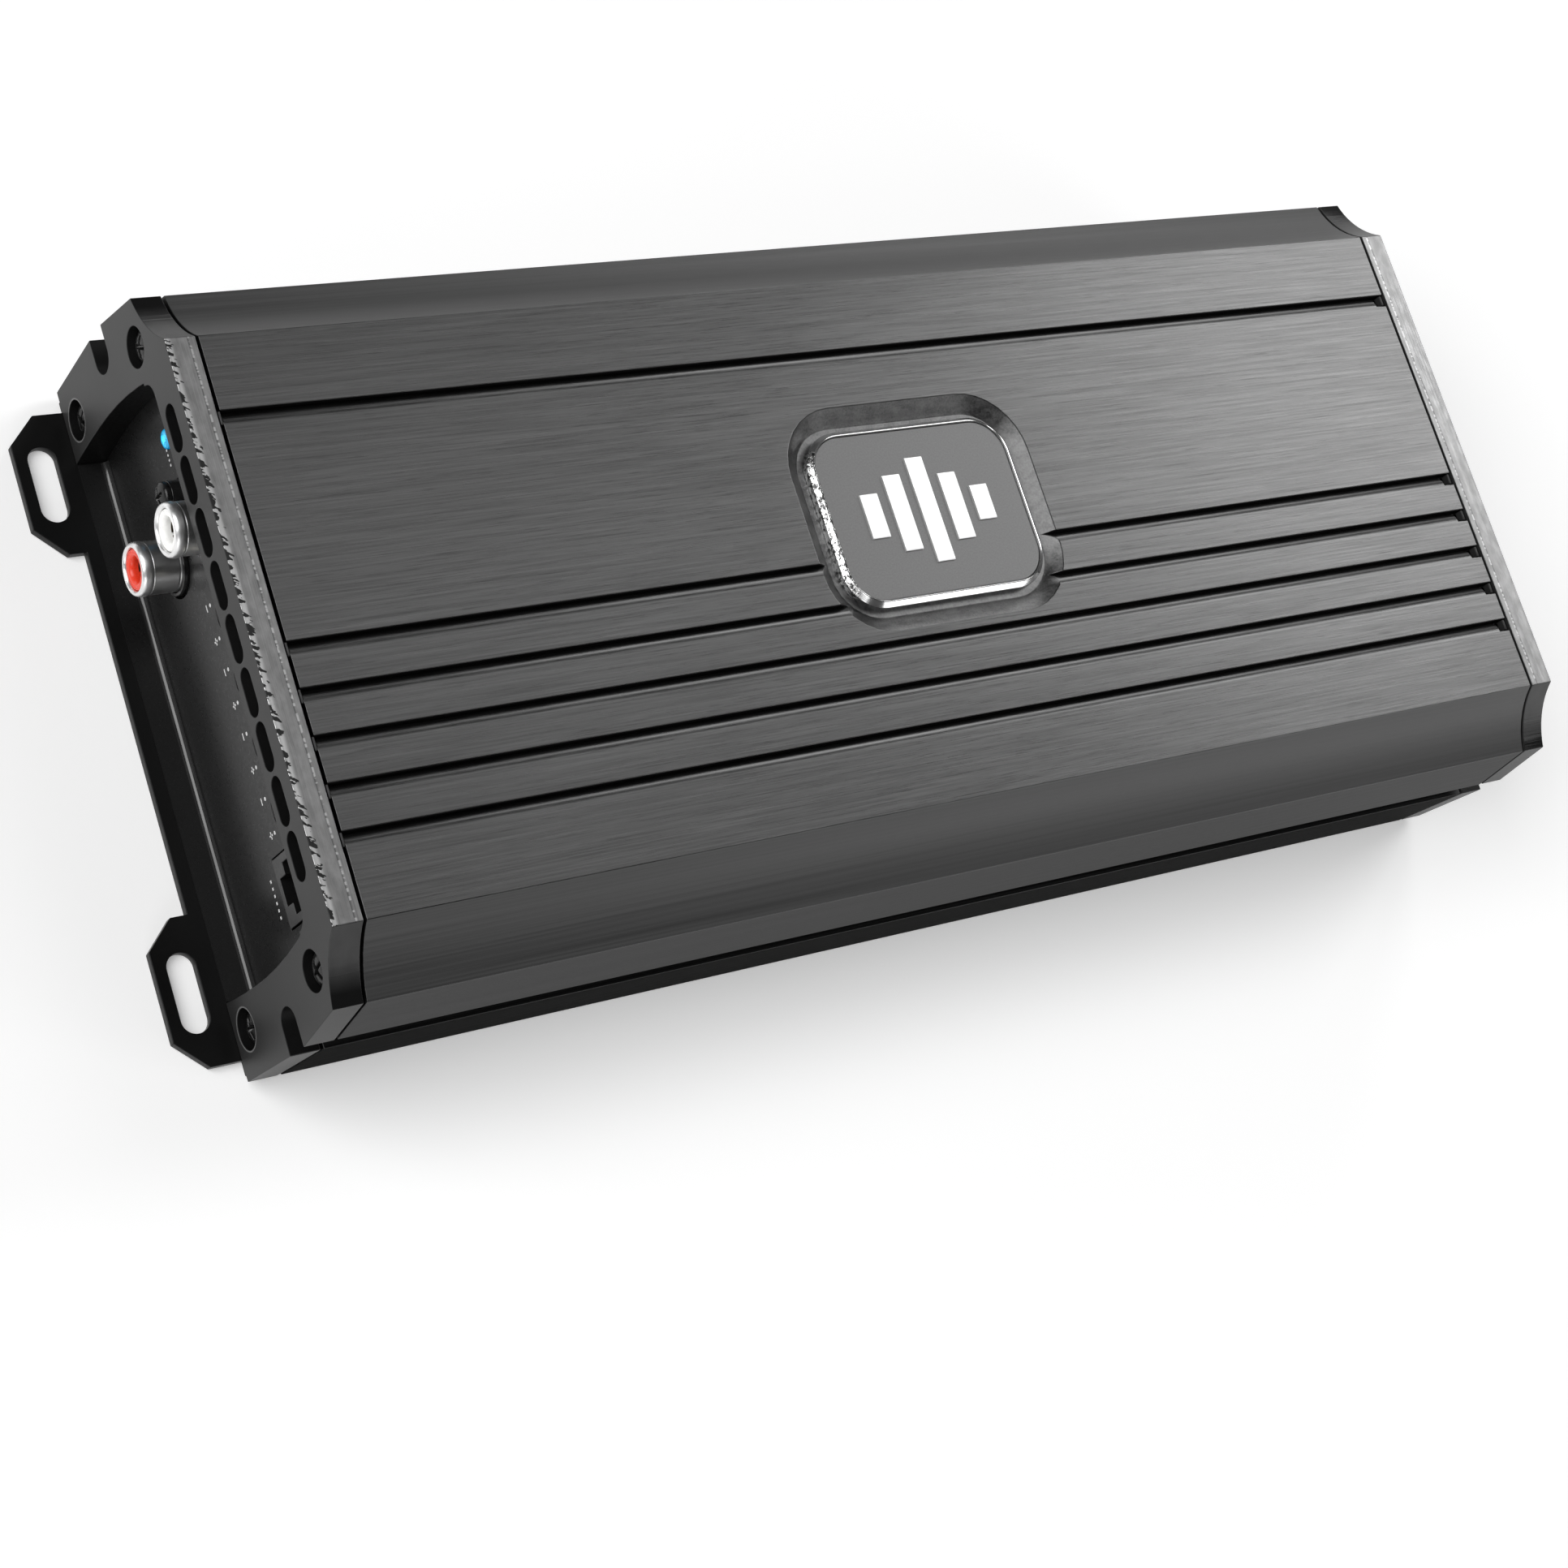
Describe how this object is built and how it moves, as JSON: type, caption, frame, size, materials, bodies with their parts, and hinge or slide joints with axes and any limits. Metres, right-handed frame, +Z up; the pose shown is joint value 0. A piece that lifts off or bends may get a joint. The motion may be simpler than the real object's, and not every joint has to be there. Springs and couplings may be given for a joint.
{
  "type": "car audio amplifier",
  "caption": "Low extruded-heatsink car amplifier with ramped top grooves, arched vented end frames, recessed panels, signal sockets, adjusters and slotted mounting tabs.",
  "frame": {"origin": "centre of the footprint at the underside of the mounting plate", "axes": "+X along the body from the input end to the output end, +Y from the front side to the back side, +Z up"},
  "size_m": [0.2588, 0.1124, 0.0448],
  "materials": {
    "sink": "brushed dark grey anodised",
    "plate": "satin black powder coat",
    "frame": "satin dark grey with worn top edge",
    "dark_screw": "black oxide",
    "badge_face": "satin grey",
    "bright_trim": "polished",
    "panel": "satin black",
    "black_plastic": "moulded",
    "white_plastic": "moulded",
    "red_plastic": "moulded",
    "gold_contact": "bright",
    "led": "lit",
    "pot_blue": "moulded",
    "pot_rotor": "moulded",
    "terminal_metal": "satin",
    "steel": "zinc plated",
    "board": "solder mask",
    "standoff_brass": "turned",
    "ferrite": "coated",
    "copper": "enamelled wire",
    "capacitor_sleeve": "shrink sleeve",
    "film_red": "epoxy dipped",
    "chip": "moulded",
    "pad": "silicone"
  },
  "bodies": {
    "case": {"heatsink": "sink", "mounting_plate": "plate", "plate_screws": "dark_screw", "input_frame": "frame", "output_frame": "frame", "input_frame_screws": "dark_screw", "output_frame_screws": "dark_screw", "badge_base": "badge_face", "badge_bezel": "bright_trim", "badge_emblem": "bright_trim", "input_panel": "panel", "rca_housing": "black_plastic", "rca_shells": "bright_trim", "rca_insert_white": "white_plastic", "rca_insert_red": "red_plastic", "rca_contacts": "gold_contact", "rca_screw": "dark_screw", "power_led": "led", "remote_jack": "black_plastic", "remote_jack_contacts": "gold_contact", "gain_pot": "pot_blue", "bass_pot": "pot_blue", "subsonic_pot": "pot_blue", "lowpass_pot": "pot_blue", "output_panel": "panel", "power_terminal_housing": "black_plastic", "power_terminal_clamps": "terminal_metal", "speaker_terminal_housing": "black_plastic", "speaker_terminal_clamps": "terminal_metal", "main_board": "board", "preamp_board": "board", "board_header": "black_plastic", "standoffs": "standoff_brass", "board_screws": "steel", "transformer_core": "ferrite", "transformer_winding": "copper", "output_coil_core": "ferrite", "output_coil_winding": "copper", "capacitors": "capacitor_sleeve", "film_capacitors": "film_red", "control_chips": "chip", "transistors_front": "chip", "transistors_back": "chip", "thermal_pads": "pad", "clamp_bar_front": "steel", "clamp_bar_back": "steel", "clamp_bar_screws": "steel"},
    "gain_shaft_body": {"gain_shaft": "pot_rotor"},
    "bass_shaft_body": {"bass_shaft": "pot_rotor"},
    "subsonic_shaft_body": {"subsonic_shaft": "pot_rotor"},
    "lowpass_shaft_body": {"lowpass_shaft": "pot_rotor"},
    "battery_screw_body": {"battery_screw": "steel"},
    "turn_on_screw_body": {"turn_on_screw": "steel"},
    "ground_screw_body": {"ground_screw": "steel"},
    "speaker_plus_screw_body": {"speaker_plus_screw": "steel"},
    "speaker_minus_screw_body": {"speaker_minus_screw": "steel"}
  },
  "joints": [
    {"name": "gain_turn", "type": "hinge", "parent": "case", "child": "gain_shaft_body", "pos_m": [-0.112, 0.0079, 0.028], "axis": [-1, 0, 0], "range_deg": [-140, 140]},
    {"name": "bass_turn", "type": "hinge", "parent": "case", "child": "bass_shaft_body", "pos_m": [-0.112, -0.00215, 0.028], "axis": [-1, 0, 0], "range_deg": [-140, 140]},
    {"name": "subsonic_turn", "type": "hinge", "parent": "case", "child": "subsonic_shaft_body", "pos_m": [-0.112, -0.0122, 0.028], "axis": [-1, 0, 0], "range_deg": [-140, 140]},
    {"name": "lowpass_turn", "type": "hinge", "parent": "case", "child": "lowpass_shaft_body", "pos_m": [-0.112, -0.02225, 0.028], "axis": [-1, 0, 0], "range_deg": [-140, 140]},
    {"name": "battery_clamp", "type": "slide", "parent": "case", "child": "battery_screw_body", "axis": [0, 0, -1], "range_m": [0, 0.005]},
    {"name": "turn_on_clamp", "type": "slide", "parent": "case", "child": "turn_on_screw_body", "axis": [0, 0, -1], "range_m": [0, 0.005]},
    {"name": "ground_clamp", "type": "slide", "parent": "case", "child": "ground_screw_body", "axis": [0, 0, -1], "range_m": [0, 0.005]},
    {"name": "speaker_plus_clamp", "type": "slide", "parent": "case", "child": "speaker_plus_screw_body", "axis": [0, 0, -1], "range_m": [0, 0.005]},
    {"name": "speaker_minus_clamp", "type": "slide", "parent": "case", "child": "speaker_minus_screw_body", "axis": [0, 0, -1], "range_m": [0, 0.005]}
  ]
}
